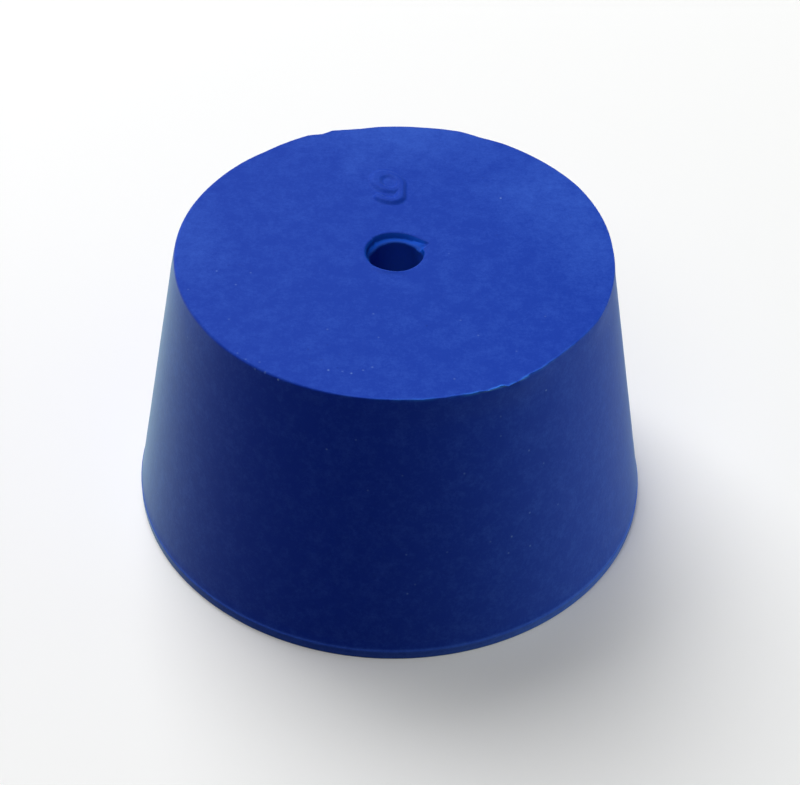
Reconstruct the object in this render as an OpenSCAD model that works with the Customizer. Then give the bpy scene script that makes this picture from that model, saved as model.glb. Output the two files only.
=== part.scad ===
// One-hole rubber stopper: a tapered plug for the neck of a flask, moulded in one piece.
//
// It stands on its large end. The origin is the centre of the large face, and +Z runs along
// the axis to the small face. Every size is in millimetres.

/* [Body] */
// Diameter of the large end
large_d = 45; // [41:0.5:60]
// Diameter of the small end
small_d = 36.6; // [24:0.2:40]
// Height from the large face to the small face
body_h = 25.4; // [15:0.2:40]

/* [Land] */
// Height of the straight band round the large end
land_h = 1; // [0.6:0.1:4]
// Width of the step in from the band to the taper
land_step = 0.06; // [0:0.02:0.4]

/* [Edges] */
// Radius of the edge round the large face
large_edge_r = 0.2; // [0.1:0.05:0.5]
// Radius of the edge round the small face
small_edge_r = 0.15; // [0.05:0.05:0.6]

/* [Hole] */
// Diameter of the hole through the stopper
hole_d = 4.2; // [2:0.1:12]
// Width of the ledge round the hole, at the bottom of the mouth's recess
ledge_w = 0.45; // [0.1:0.05:2]
// Depth of the recess in the small face
mouth_depth = 0.5; // [0.2:0.1:4]
// Radius of the lip where the hole opens in each face
lip_r = 0.1; // [0.05:0.05:0.2]

/* [Hidden] */
$fn = 180;

// Straight pieces in each rounded edge
arc_steps = 6;

rubber_blue = "#2646ac";

large_r = large_d / 2;
small_r = small_d / 2;
hole_r = hole_d / 2;
mouth_r = hole_r + ledge_w;
taper_start_r = large_r - land_step;
ledge_z = body_h - mouth_depth;

// How far the side leans in from the vertical, in degrees
lean = atan((taper_start_r - small_r) / (body_h - land_h));

// Points on an arc, from one angle to another in degrees, both ends included
function arc(centre, r, from, to) = [
    for (i = [0:arc_steps])
        let (angle = from + (to - from) * i / arc_steps)
            centre + r * [cos(angle), sin(angle)]
];

// How far in from a leaning side's corner a tangent arc has its centre
function inset(r, side_lean) = r * tan(45 - side_lean / 2);

// Half section of the outside, from the large face up to the small one
function outside() = concat(
    arc([large_r - large_edge_r, large_edge_r], large_edge_r, -90, 0),
    [[large_r, land_h], [taper_start_r, land_h]],
    arc([small_r - inset(small_edge_r, lean), body_h - small_edge_r], small_edge_r, lean, 90)
);

// Half section of the hole, from the small face down to the large one
function inside() = concat(
    arc([mouth_r + lip_r, body_h - lip_r], lip_r, 90, 180),
    [[mouth_r, ledge_z], [hole_r, ledge_z]],
    arc([hole_r + lip_r, lip_r], lip_r, 180, 270)
);

module stopper() {
    color(rubber_blue)
        rotate_extrude()
            polygon(concat(outside(), inside()));
}

stopper();
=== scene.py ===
"""Dresses a one-hole rubber stopper: its moulded skin, size numeral, torn mouth, finishes, floor and lamps.

Lengths held in the classes are millimetres and angles are degrees, unless a docstring says otherwise. The
frame is in metres, with the origin at the centre of the large face and +Z along the axis to the small face.
Azimuths run anticlockwise from +X, seen from above the small face.
"""

from __future__ import annotations

import logging
import math
from collections.abc import Iterator, Mapping
from dataclasses import dataclass, field
from enum import Enum, IntEnum

import bmesh
import bpy
import numpy as np
from mathutils import Matrix, Vector


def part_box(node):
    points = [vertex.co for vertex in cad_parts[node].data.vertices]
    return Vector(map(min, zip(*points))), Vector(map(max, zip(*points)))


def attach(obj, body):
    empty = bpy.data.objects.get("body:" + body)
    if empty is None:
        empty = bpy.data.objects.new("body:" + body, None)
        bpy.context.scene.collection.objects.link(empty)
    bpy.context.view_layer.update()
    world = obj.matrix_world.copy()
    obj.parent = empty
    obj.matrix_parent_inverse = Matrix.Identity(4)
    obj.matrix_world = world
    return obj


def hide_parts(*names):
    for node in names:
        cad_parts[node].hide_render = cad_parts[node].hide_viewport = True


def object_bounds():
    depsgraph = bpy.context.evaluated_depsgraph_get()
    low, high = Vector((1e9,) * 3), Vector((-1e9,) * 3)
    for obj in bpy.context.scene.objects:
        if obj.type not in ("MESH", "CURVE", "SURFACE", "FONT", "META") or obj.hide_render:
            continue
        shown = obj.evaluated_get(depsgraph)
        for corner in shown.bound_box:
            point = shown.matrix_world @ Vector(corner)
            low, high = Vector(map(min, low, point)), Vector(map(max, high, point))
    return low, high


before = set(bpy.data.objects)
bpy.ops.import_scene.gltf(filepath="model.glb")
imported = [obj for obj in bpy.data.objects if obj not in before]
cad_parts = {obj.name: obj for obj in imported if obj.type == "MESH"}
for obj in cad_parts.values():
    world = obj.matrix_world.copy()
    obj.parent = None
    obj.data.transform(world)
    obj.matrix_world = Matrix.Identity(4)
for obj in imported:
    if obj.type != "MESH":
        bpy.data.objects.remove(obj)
cad_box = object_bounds()

MM = 0.001
NODE = "stopper"
BODY = "root"
FACE_Z = cad_box[1][2] / MM

Pair = tuple[float, float]
Triple = tuple[float, float, float]
Colour = Triple
Stations = tuple[Pair, ...]
Socket = bpy.types.NodeSocket
Feed = Socket | bpy.types.Material | float | tuple[float, ...]

log = logging.getLogger("stopper")


class Zone(IntEnum):
    """The surfaces of the skin, in the order in which the half section meets them."""

    LARGE_FACE = 0
    SIDE = 1
    SMALL_FACE = 2
    LIP = 3
    MOUTH = 4
    HOLE = 5


class Easing(Enum):
    """How a Map Range node eases between its ends."""

    LINEAR = "LINEAR"
    SMOOTH = "SMOOTHSTEP"


def smooth(share: np.ndarray) -> np.ndarray:
    """Eases a share from 0 to 1, flat at both ends and outside them.

    Args:
        share: how far along each point is.

    Returns:
        The eased shares.
    """
    held = np.clip(share, 0.0, 1.0)
    return held * held * (3.0 - 2.0 * held)


def around(azimuth: np.ndarray, stations: Stations) -> np.ndarray:
    """Reads a value that changes round the axis.

    Args:
        azimuth: the azimuths to read it at.
        stations: pairs of azimuth and value, in order.

    Returns:
        The value at each azimuth.
    """
    angles, values = zip(*stations)
    return np.interp(azimuth, angles, values, period=360.0)


@dataclass(frozen=True)
class Ragged:
    """A seeded random line round the axis, between -1 and 1."""

    knots: int
    seed: int

    def at(self, azimuth: np.ndarray) -> np.ndarray:
        """Reads the line.

        Args:
            azimuth: the azimuths to read it at.

        Returns:
            The value at each azimuth.
        """
        values = np.random.default_rng(self.seed).uniform(-1.0, 1.0, self.knots)
        stations = np.linspace(-180.0, 180.0, self.knots, endpoint=False)
        return np.interp(azimuth, stations, values, period=360.0)


def add_object(name: str, data: bpy.types.ID) -> bpy.types.Object:
    """Puts an object in the scene.

    Args:
        name: what the object is called.
        data: its mesh, lamp or camera.

    Returns:
        The new object, at the origin.
    """
    thing = bpy.data.objects.new(name, data)
    bpy.context.scene.collection.objects.link(thing)
    return thing


# ---------------------------------------------------------------------------------------------
# Node wiring
# ---------------------------------------------------------------------------------------------


class Wiring:
    """Adds nodes to a geometry or shader tree and feeds them with sockets or plain values."""

    def __init__(self, tree: bpy.types.NodeTree) -> None:
        """Starts wiring a tree.

        Args:
            tree: the tree that the nodes are added to.
        """
        self.tree = tree

    @classmethod
    def group(cls, name: str, kind: str, inputs: Mapping[str, str], outputs: Mapping[str, str]) -> Wiring:
        """Starts a node group with named sockets.

        Args:
            name: what the group is called.
            kind: GeometryNodeTree or ShaderNodeTree.
            inputs: each input's name and type, without the leading "NodeSocket".
            outputs: each output's name and type.

        Returns:
            The wiring of the new group.
        """
        wiring = cls(bpy.data.node_groups.new(name, kind))
        for side, sockets in (("INPUT", inputs), ("OUTPUT", outputs)):
            for socket, socket_kind in sockets.items():
                full_kind = f"NodeSocket{socket_kind}"
                wiring.tree.interface.new_socket(socket, in_out=side, socket_type=full_kind)
        return wiring

    @classmethod
    def material(cls, name: str) -> tuple[bpy.types.Material, Wiring]:
        """Starts a material with an empty tree.

        Args:
            name: what the material is called.

        Returns:
            The material and its wiring.
        """
        material = bpy.data.materials.new(name)
        material.use_nodes = True
        material.node_tree.nodes.clear()
        return material, cls(material.node_tree)

    def node(
        self, kind: str, feeds: Mapping[str | int, Feed] | None = None, **settings: object
    ) -> bpy.types.Node:
        """Adds one node.

        Args:
            kind: the node's type name.
            feeds: an input's name or index, and the socket or the value that it takes.
            settings: the node's own properties, set before its inputs are fed.

        Returns:
            The new node.
        """
        node = self.tree.nodes.new(kind)
        for name, value in settings.items():
            setattr(node, name, value)
        for key, value in (feeds or {}).items():
            if isinstance(value, Socket):
                self.tree.links.new(value, node.inputs[key])
            else:
                node.inputs[key].default_value = value
        return node

    def inputs(self) -> bpy.types.NodeOutputs:
        """The sockets that carry the group's inputs."""
        return self.node("NodeGroupInput").outputs

    def output(self, value: Socket) -> bpy.types.NodeTree:
        """Ends the group at its one output.

        Args:
            value: the socket that is put out.

        Returns:
            The finished tree.
        """
        self.node("NodeGroupOutput", {0: value})
        return self.tree

    def math(self, operation: str, *terms: Feed) -> Socket:
        """Adds a Math node.

        Args:
            operation: the Math node's operation.
            terms: its inputs in order, as sockets or numbers.

        Returns:
            The result's socket.
        """
        return self.node("ShaderNodeMath", dict(enumerate(terms)), operation=operation).outputs[0]

    def vector_math(self, operation: str, *terms: Feed, output: str = "Vector") -> Socket:
        """Adds a Vector Math node.

        Args:
            operation: the node's operation.
            terms: its inputs in order; with SCALE, the last one is the factor.
            output: the name of the result's socket.

        Returns:
            The result's socket.
        """
        vectors = list(terms)
        feeds: dict[str | int, Feed] = {}
        if operation == "SCALE":
            feeds["Scale"] = vectors.pop()
        feeds.update(enumerate(vectors))
        return self.node("ShaderNodeVectorMath", feeds, operation=operation).outputs[output]

    def ramp(
        self,
        value: Feed,
        start: Feed,
        end: Feed,
        low: Feed = 0.0,
        high: Feed = 1.0,
        easing: Easing = Easing.SMOOTH,
    ) -> Socket:
        """Adds a clamped Map Range node.

        Args:
            value: what is mapped.
            start: the value that gives low.
            end: the value that gives high.
            low: the result at start.
            high: the result at end.
            easing: how it eases between the two.

        Returns:
            The result's socket.
        """
        feeds = {"Value": value, "From Min": start, "From Max": end, "To Min": low, "To Max": high}
        return self.node("ShaderNodeMapRange", feeds, interpolation_type=easing.value).outputs["Result"]

    def mix(self, factor: Feed, first: Feed, second: Feed) -> Socket:
        """Mixes two colours.

        Args:
            factor: the share of the second colour.
            first: the first colour.
            second: the second colour.

        Returns:
            The mixed colour's socket.
        """
        feeds = {"Factor": factor, "A": first, "B": second}
        return self.node("ShaderNodeMix", feeds, data_type="RGBA").outputs["Result"]


# ---------------------------------------------------------------------------------------------
# Sections and points
# ---------------------------------------------------------------------------------------------


@dataclass(frozen=True)
class HalfSection:
    """The stopper's half section, as the points that the skin is swept from."""

    large_r: float
    height: float
    small_r: float = 18.3
    land_h: float = 1.0
    land_step: float = 0.06
    large_edge_r: float = 0.2
    small_edge_r: float = 0.15
    hole_r: float = 2.1
    ledge_w: float = 0.45
    mouth_depth: float = 0.5
    lip_r: float = 0.14
    ledge_edge_r: float = 0.12
    # How the points are spaced where edges need support or the shaping needs a finer mesh.
    fine_w: float = 0.8
    fine_step: float = 0.06
    support_w: float = 0.12
    crease_h: float = 0.05
    collar_h: float = 1.0
    face_insets: tuple[float, ...] = (0.04, 0.09, 0.16, 0.26)
    hole_top_gap: float = 0.35
    hole_foot_gap: float = 0.3
    least_gap: float = 1e-6

    @property
    def mouth_r(self) -> float:
        """Radius of the recess round the hole."""
        return self.hole_r + self.ledge_w

    @property
    def ledge_z(self) -> float:
        """Height of the ledge at the bottom of the recess."""
        return self.height - self.mouth_depth

    @property
    def taper_start_r(self) -> float:
        """Radius at which the taper starts, just above the land."""
        return self.large_r - self.land_step

    @property
    def lean(self) -> float:
        """Angle by which the side leans in from the axis."""
        return math.degrees(math.atan2(self.taper_start_r - self.small_r, self.height - self.land_h))

    def taper_r(self, z: np.ndarray | float) -> np.ndarray | float:
        """Radius of the tapered side at a height.

        Args:
            z: the height above the large face.

        Returns:
            The radius there.
        """
        share = (z - self.land_h) / (self.height - self.land_h)
        return self.taper_start_r + (self.small_r - self.taper_start_r) * share

    @staticmethod
    def run(start: Pair, end: Pair, steps: int) -> list[Pair]:
        """Points along a straight stretch, without its last one.

        Args:
            start: the first point, as radius and height.
            end: the point that the stretch runs to.
            steps: how many points it gives.

        Returns:
            The points.
        """
        (r0, z0), (r1, z1) = start, end
        return [(r0 + (r1 - r0) * i / steps, z0 + (z1 - z0) * i / steps) for i in range(steps)]

    @staticmethod
    def arc(centre: Pair, radius: float, start: float, end: float, steps: int = 5) -> list[Pair]:
        """Points along an arc, with both its ends.

        Args:
            centre: the arc's centre, as radius and height.
            radius: its radius.
            start: the angle at its first point.
            end: the angle at its last point.
            steps: how many straight pieces it has.

        Returns:
            The points.
        """
        angles = [math.radians(start + (end - start) * i / steps) for i in range(steps + 1)]
        return [(centre[0] + radius * math.cos(a), centre[1] + radius * math.sin(a)) for a in angles]

    def side(self) -> list[tuple[Zone, list[Pair]]]:
        """The stretches from the hole's edge in the large face up to the small end's rim.

        Returns:
            The stretches.
        """
        corner = (self.large_r - self.large_edge_r, self.large_edge_r)
        hole_edge, edge_foot = (self.hole_r + self.lip_r, 0.0), (corner[0] - self.support_w, 0.0)
        land_foot, land_top = (self.large_r, corner[1] + self.crease_h), (self.large_r, self.land_h)
        crease = (self.taper_start_r, self.land_h + self.crease_h)
        taper_z, collar_z = self.land_h + 2 * self.crease_h, self.height - self.collar_h
        taper_foot, collar = (self.taper_r(taper_z), taper_z), (self.taper_r(collar_z), collar_z)
        return [
            (Zone.LARGE_FACE, self.run(hole_edge, edge_foot, steps=14)),
            (Zone.LARGE_FACE, [edge_foot]),
            (Zone.SIDE, self.arc(corner, self.large_edge_r, -90.0, 0.0)),
            (Zone.SIDE, self.run(land_foot, land_top, steps=5)),
            (Zone.SIDE, [land_top, crease]),
            (Zone.SIDE, self.run(taper_foot, collar, steps=26)),
            (Zone.SIDE, self.run(collar, self.rim()[0], steps=9)),
        ]

    def rim(self) -> list[Pair]:
        """The rounded edge between the side and the small face.

        Returns:
            The points.
        """
        inset = self.small_edge_r * math.tan(math.radians(45.0 - self.lean / 2))
        centre = (self.small_r - inset, self.height - self.small_edge_r)
        return self.arc(centre, self.small_edge_r, self.lean, 90.0, steps=6)

    def small_face(self, numeral_span: Pair) -> list[tuple[Zone, list[Pair]]]:
        """The stretches from the rim in to the mouth, finest where the numeral stands.

        Args:
            numeral_span: the smallest and largest radius that the numeral reaches.

        Returns:
            The stretches.
        """
        rim = self.rim()
        inner, outer = numeral_span
        lip_top = self.mouth_r + self.lip_r
        *collar, start = [rim[-1][0] - inset for inset in self.face_insets]
        stops = (
            (start, outer, 16),
            (outer, inner, round((outer - inner) / self.fine_step)),
            (inner, lip_top + self.fine_w, 9),
            (lip_top + self.fine_w, lip_top, 16),
        )
        face = [self.run((start, self.height), (end, self.height), steps) for start, end, steps in stops]
        stretches = [rim[4:], [(radius, self.height) for radius in collar], *face]
        return [(Zone.SIDE, rim[:4]), *((Zone.SMALL_FACE, stretch) for stretch in stretches)]

    def mouth(self) -> list[tuple[Zone, list[Pair]]]:
        """The stretches down the recess, across its ledge and down the hole.

        Returns:
            The stretches.
        """
        lip = (self.mouth_r + self.lip_r, self.height - self.lip_r)
        wall_top, wall_foot = (self.mouth_r, lip[1] - self.lip_r / 2), (self.mouth_r, self.ledge_z)
        ledge_end = (self.hole_r + self.ledge_edge_r, self.ledge_z)
        ledge_edge = (ledge_end[0], self.ledge_z - self.ledge_edge_r)
        hole_top = (self.hole_r, self.ledge_z - self.hole_top_gap)
        hole_foot = (self.hole_r, self.lip_r + self.hole_foot_gap)
        return [
            (Zone.LIP, self.arc(lip, self.lip_r, 90.0, 180.0)),
            (Zone.MOUTH, self.run(wall_top, wall_foot, steps=7)),
            (Zone.MOUTH, self.run(wall_foot, ledge_end, steps=10)),
            (Zone.HOLE, self.arc(ledge_edge, self.ledge_edge_r, 90.0, 180.0)),
            (Zone.HOLE, self.run(hole_top, hole_foot, steps=18)),
            (Zone.HOLE, self.arc((self.hole_r + self.lip_r, self.lip_r), self.lip_r, 180.0, 265.0)),
        ]

    def points(self, numeral_span: Pair) -> tuple[list[Pair], list[Zone]]:
        """The closed outline of the half section.

        Args:
            numeral_span: the smallest and largest radius that the numeral reaches.

        Returns:
            The points as radius and height, and the zone of each.
        """
        points: list[Pair] = []
        zones: list[Zone] = []
        for zone, stretch in (*self.side(), *self.small_face(numeral_span), *self.mouth()):
            for point in stretch:
                if points and math.dist(point, points[-1]) < self.least_gap:
                    continue
                points.append(point)
                zones.append(zone)
        return points, zones


class Points:
    """The swept skin's points in millimetres, as arrays that the shaping steps change in place.

    Radius, height and azimuth stay those of the plain sweep, before any shaping.
    """

    def __init__(self, mesh: bpy.types.Mesh) -> None:
        """Reads the points, their zones and their places in the half section.

        Args:
            mesh: the swept mesh.
        """
        self.place = self.read(mesh.attributes["position"]) / MM
        nominal = self.read(mesh.attributes["nominal"]) / MM
        self.radius, self.height = nominal[:, 0], nominal[:, 2]
        self.zone = np.empty(len(self.place), np.int32)
        mesh.attributes["zone"].data.foreach_get("value", self.zone)
        self.azimuth = np.degrees(np.arctan2(self.place[:, 1], self.place[:, 0]))
        self.outward = np.stack([np.cos(np.radians(self.azimuth)), np.sin(np.radians(self.azimuth))], 1)
        # How strongly a highlight is painted on each point, along the rim's edge.
        self.rim_highlight = np.zeros(len(self.place))

    @staticmethod
    def read(attribute: bpy.types.Attribute) -> np.ndarray:
        """Reads a vector attribute.

        Args:
            attribute: the attribute.

        Returns:
            One row for each point.
        """
        flat = np.empty(len(attribute.data) * 3, np.float32)
        attribute.data.foreach_get("vector", flat)
        return flat.reshape(-1, 3).astype(float)

    def push(self, distance: np.ndarray) -> None:
        """Moves each point away from the axis.

        Args:
            distance: how far each point moves.
        """
        self.place[:, :2] += self.outward * distance[:, None]

    def store(self, mesh: bpy.types.Mesh) -> None:
        """Writes the points and their painted rim highlight back, and drops what only the shaping needed.

        Args:
            mesh: the mesh that they were read from.
        """
        mesh.vertices.foreach_set("co", (self.place * MM).astype(np.float32).ravel())
        for name in ("zone", "nominal"):
            mesh.attributes.remove(mesh.attributes[name])
        rim_highlight = mesh.attributes.new("rim_highlight", "FLOAT", "POINT")
        rim_highlight.data.foreach_set("value", self.rim_highlight.astype(np.float32))
        mesh.update()


# ---------------------------------------------------------------------------------------------
# Numeral
# ---------------------------------------------------------------------------------------------


@dataclass(frozen=True)
class Numeral:
    """A plain raised 9 with soft edges: a round bowl, a straight stem on its right and a hooked tail."""

    centre_x: float = -0.8
    bowl_y: float = 9.78
    bowl_w: float = 1.08
    bowl_h: float = 1.16
    tail_y: float = 8.15
    tail_h: float = 1.1
    tail_sweep: float = -128.0
    lean: float = 0.25
    crest_w: float = 0.22
    left_crest_w: float = 0.5
    flank_w: float = 0.48
    rise: float = 0.235
    top_rise: float = 0.12
    shoulder: float = 0.6
    arc_points: int = 36

    @property
    def reach(self) -> float:
        """How far the relief spreads from the line that the stroke follows, where it is widest."""
        return self.left_crest_w / 2 + self.flank_w

    @property
    def span(self) -> Pair:
        """The ring round the axis that the relief lies in.

        Returns:
            The smallest radius, and the largest one, which the bowl's shoulder reaches.
        """
        top = self.bowl_y + self.bowl_h + self.reach
        side = abs(self.centre_x) + self.bowl_w + self.reach
        return self.tail_y - self.tail_h - self.reach, math.hypot(side * self.shoulder, top)

    def sizes(self) -> dict[str, Feed]:
        """The values of the relief group's inputs, in metres and radians.

        Returns:
            The values, by the inputs' names.
        """
        return {
            "Bowl Centre": (self.centre_x * MM, self.bowl_y * MM, 0.0),
            "Bowl Size": (self.bowl_w * MM, self.bowl_h * MM, 1.0),
            "Tail Centre": (self.centre_x * MM, self.tail_y * MM, 0.0),
            "Tail Size": (self.bowl_w * MM, self.tail_h * MM, 1.0),
            "Tail Sweep": math.radians(self.tail_sweep),
            "Lean": self.lean,
            "Left": (self.centre_x - self.bowl_w) * MM,
            "Bottom": (self.tail_y - self.tail_h) * MM,
            "Top": (self.bowl_y + self.bowl_h) * MM,
            "Crest Width": self.crest_w * MM,
            "Left Crest Width": self.left_crest_w * MM,
            "Flank Width": self.flank_w * MM,
            "Rise": self.rise * MM,
            "Top Rise": self.top_rise * MM,
        }

    def stroke(self, wiring: Wiring, sizes: bpy.types.NodeOutputs) -> Socket:
        """The line down the middle of the numeral's stroke, as edges at height zero.

        Args:
            wiring: the tree being built.
            sizes: the group's inputs.

        Returns:
            The line's geometry.
        """
        feeds = {"Resolution": 2 * self.arc_points, "Radius": 1.0}
        ring = wiring.node("GeometryNodeCurvePrimitiveCircle", feeds)
        feeds = {"Resolution": self.arc_points, "Radius": 1.0, "Start Angle": 0.0}
        hook = wiring.node("GeometryNodeCurveArc", {**feeds, "Sweep Angle": sizes["Tail Sweep"]})
        side = wiring.vector_math("MULTIPLY", sizes["Bowl Size"], (1.0, 0.0, 0.0))
        ends = {
            "Start": wiring.vector_math("ADD", sizes["Bowl Centre"], side),
            "End": wiring.vector_math("ADD", sizes["Tail Centre"], side),
        }
        stem = wiring.node("GeometryNodeCurvePrimitiveLine", ends)
        joined = wiring.node("GeometryNodeJoinGeometry")
        wiring.tree.links.new(stem.outputs[0], joined.inputs[0])
        for part, curve in (("Bowl", ring.outputs[0]), ("Tail", hook.outputs["Curve"])):
            feeds = {"Translation": sizes[f"{part} Centre"], "Scale": sizes[f"{part} Size"]}
            placed = wiring.node("GeometryNodeTransform", {"Geometry": curve, **feeds})
            wiring.tree.links.new(placed.outputs[0], joined.inputs[0])
        return wiring.node("GeometryNodeCurveToMesh", {"Curve": joined.outputs[0]}).outputs[0]

    def relief(self) -> bpy.types.NodeTree:
        """Builds the group that tells how far the numeral lifts a point of the small face.

        Returns:
            The group.
        """
        kinds = {
            name: "Vector" if isinstance(size, tuple) else "Float" for name, size in self.sizes().items()
        }
        wiring = Wiring.group("numeral_relief", "GeometryNodeTree", kinds, {"Lift": "Float"})
        sizes = wiring.inputs()
        position = wiring.node("GeometryNodeInputPosition").outputs[0]
        at = wiring.node("ShaderNodeSeparateXYZ", {0: position}).outputs
        middle = wiring.node("ShaderNodeSeparateXYZ", {0: sizes["Bowl Centre"]}).outputs["X"]
        dropped = wiring.math("MULTIPLY", wiring.math("SUBTRACT", at["X"], middle), sizes["Lean"])
        on_plane = {"X": at["X"], "Y": wiring.math("ADD", at["Y"], dropped), "Z": 0.0}
        sample = wiring.node("ShaderNodeCombineXYZ", on_plane).outputs[0]
        feeds = {0: self.stroke(wiring, sizes), "Sample Position": sample}
        nearest = wiring.node("GeometryNodeProximity", feeds, target_element="EDGES")
        width = wiring.ramp(
            at["X"], sizes["Left"], middle, sizes["Left Crest Width"], sizes["Crest Width"], Easing.LINEAR
        )
        rise = wiring.ramp(
            at["Y"], sizes["Bottom"], sizes["Top"], sizes["Rise"], sizes["Top Rise"], Easing.LINEAR
        )
        crest = wiring.math("MULTIPLY", width, 0.5)
        foot = wiring.math("ADD", crest, sizes["Flank Width"])
        return wiring.output(wiring.ramp(nearest.outputs["Distance"], foot, crest, 0.0, rise))


# ---------------------------------------------------------------------------------------------
# Mouth and rim
# ---------------------------------------------------------------------------------------------


@dataclass(frozen=True)
class Mouth:
    """The mouth of the hole: a moulded recess whose far edge is torn, with a slit and a sunken flap."""

    # The mouth's edge: its radius round the axis, and how torn it is.
    edge: Stations = (
        (-130.0, 2.6), (-90.0, 2.6), (-60.0, 2.54), (-30.0, 2.43), (16.0, 2.44), (57.0, 2.74),
        (90.0, 2.69), (133.0, 2.75), (141.0, 2.64), (180.0, 2.62),
    )
    tear: Ragged = Ragged(90, 3)
    tear_w: float = 0.015
    # The slit: it leaves the edge at slit_from and runs clockwise, and the edge comes back past its tip.
    slit_from: float = 57.0
    slit_length: float = 1.62
    slit_r: float = 2.74
    slit_w: float = 0.45
    slit_depth: float = 0.42
    slit_bluntness: float = 0.22
    hinge_w: float = 11.0
    # The hole: its top is shifted off the axis, and pinched or opened round it.
    hole_shift: Pair = (0.09, 0.0)
    pinch: Stations = (
        (-150.0, -0.1), (-90.0, 0.0), (-40.0, 0.0), (-20.0, -0.08), (-8.0, -0.15), (4.0, -0.15),
        (16.0, 0.1), (26.0, 0.2), (46.0, 0.2), (90.0, 0.16), (120.0, 0.15), (134.0, 0.08),
        (149.0, 0.09), (164.0, -0.04), (176.0, -0.15),
    )
    pinch_depth: float = 2.0
    least_ledge: float = 0.06
    # The recess's floor: its depth along the wall and along the hole.
    outer_depth: Stations = (
        (-150.0, 0.34), (-90.0, 0.46), (-30.0, 0.34), (0.0, 0.32), (14.0, 0.2), (32.0, 0.04),
        (44.0, 0.2), (58.0, 0.42), (100.0, 0.44), (130.0, 0.42), (150.0, 0.38), (180.0, 0.34),
    )
    inner_depth: Stations = (
        (-150.0, 0.8), (-90.0, 0.48), (-30.0, 0.46), (5.0, 0.46), (22.0, 0.36), (40.0, 0.38),
        (60.0, 0.46), (105.0, 0.48), (130.0, 0.56), (150.0, 0.66), (165.0, 0.75), (180.0, 0.8),
    )
    wall_slope: float = 0.17
    cove_r: float = 0.2
    settle_depth: float = 2.0
    # The swell of the face beside the near edge.
    bulge_at: float = -105.0
    bulge_w: float = 30.0
    bulge_rise: float = 0.1
    bulge_reach: float = 0.5

    @property
    def slit_end(self) -> float:
        """Azimuth of the slit's tip."""
        return self.slit_from - math.degrees(math.atan2(self.slit_length, self.slit_r))

    def edge_r(self, azimuth: np.ndarray) -> np.ndarray:
        """Radius of the mouth's edge, with the slit as a straight spur that leaves it along its tangent.

        Args:
            azimuth: the azimuths to read it at.

        Returns:
            The radius at each azimuth.
        """
        turn = np.clip(azimuth, self.slit_end, self.slit_from) - self.slit_from
        spur = self.slit_r / np.cos(np.radians(turn))
        plain = around(azimuth, self.edge)
        torn = plain + self.tear_w * self.tear.at(azimuth) * (azimuth > self.slit_from)
        back = smooth((azimuth - self.slit_end) / self.hinge_w + 1.0)
        past_tip = (azimuth <= self.slit_end) & (azimuth > self.slit_end - self.hinge_w)
        on_slit = (azimuth > self.slit_end) & (azimuth < self.slit_from)
        return np.select([on_slit, past_tip], [spur, plain + (spur - plain) * back], torn)

    def slit(self, azimuth: np.ndarray) -> np.ndarray:
        """Depth of the slit's bottom, which comes up at its tip.

        Args:
            azimuth: the azimuths to read it at.

        Returns:
            The depth at each azimuth, zero away from the slit.
        """
        on_slit = (azimuth > self.slit_end) & (azimuth < self.slit_from)
        turn = np.radians(np.where(on_slit, self.slit_from - azimuth, 0.0))
        along = np.tan(turn) * self.slit_r / self.slit_length
        share = np.clip(1.0 - along, 0.0, 1.0) ** self.slit_bluntness
        return np.where(on_slit, self.slit_depth * share, 0.0)

    def floor_depth(self, azimuth: np.ndarray, across: np.ndarray, width: np.ndarray) -> np.ndarray:
        """Depth of the recess's floor below the face.

        Args:
            azimuth: each point's azimuth.
            across: how far each point lies from the hole's edge to the mouth's edge, from 0 to 1.
            width: the distance between those edges.

        Returns:
            The depth under each point.
        """
        outer, inner = around(azimuth, self.outer_depth), around(azimuth, self.inner_depth)
        away = (1.0 - across) * width
        floor = np.maximum(
            inner + (outer - inner) * across, self.slit(azimuth) * smooth(1.0 - away / self.slit_w)
        )
        cove = np.minimum(self.cove_r, np.minimum(width, floor) / 2.0)
        bend = 1.0 - np.clip(away / cove, 0.0, 1.0)
        return floor - cove * (1.0 - np.sqrt(1.0 - bend**2))

    def shape(self, points: Points, section: HalfSection) -> None:
        """Moves the recess, the hole and the face round them to the torn form.

        Args:
            points: the skin's points.
            section: the half section that they were swept from.
        """
        azimuth, outward, below = points.azimuth, points.outward, section.height - points.height
        face, inside = points.zone == Zone.SMALL_FACE, points.zone >= Zone.LIP
        # Two lines round the axis: the hole's rim as a distance from the axis, and the mouth's torn edge.
        shift, pinch = np.array(self.hole_shift), around(azimuth, self.pinch)
        ring = np.linalg.norm(shift + outward * (section.hole_r - pinch)[:, None], axis=1)
        edge = np.maximum(self.edge_r(azimuth), ring + self.least_ledge)
        # The face follows the edge and takes the move up again further out.
        away = points.radius - section.mouth_r - section.lip_r
        fade = np.clip(1.0 - away / section.fine_w, 0.0, 1.0)
        points.push(np.where(face, (edge - section.mouth_r) * fade, 0.0))
        # Ledge and wall lie between the hole, which leans towards its shifted rim, and the edge.
        upper = points.height > section.height / 2.0
        across = np.where(upper, np.clip((points.radius - section.hole_r) / section.ledge_w, 0.0, 1.0), 0.0)
        beyond = points.radius - np.where(upper, section.mouth_r, section.hole_r)
        lean = np.clip(points.height / section.ledge_z, 0.0, 1.0)
        pinch *= np.clip(1.0 - (below - section.mouth_depth) / self.pinch_depth, 0.0, 1.0)
        hole = shift * lean[:, None] + outward * (section.hole_r - pinch)[:, None]
        width = edge - ring
        share = np.clip(below / section.mouth_depth, 0.0, 1.0)
        wall = edge - share * np.minimum(self.wall_slope, width / 2.0)
        reach = wall * across + np.clip(beyond, 0.0, None)
        points.place[inside, :2] = (hole * (1.0 - across)[:, None] + outward * reach[:, None])[inside]
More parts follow.
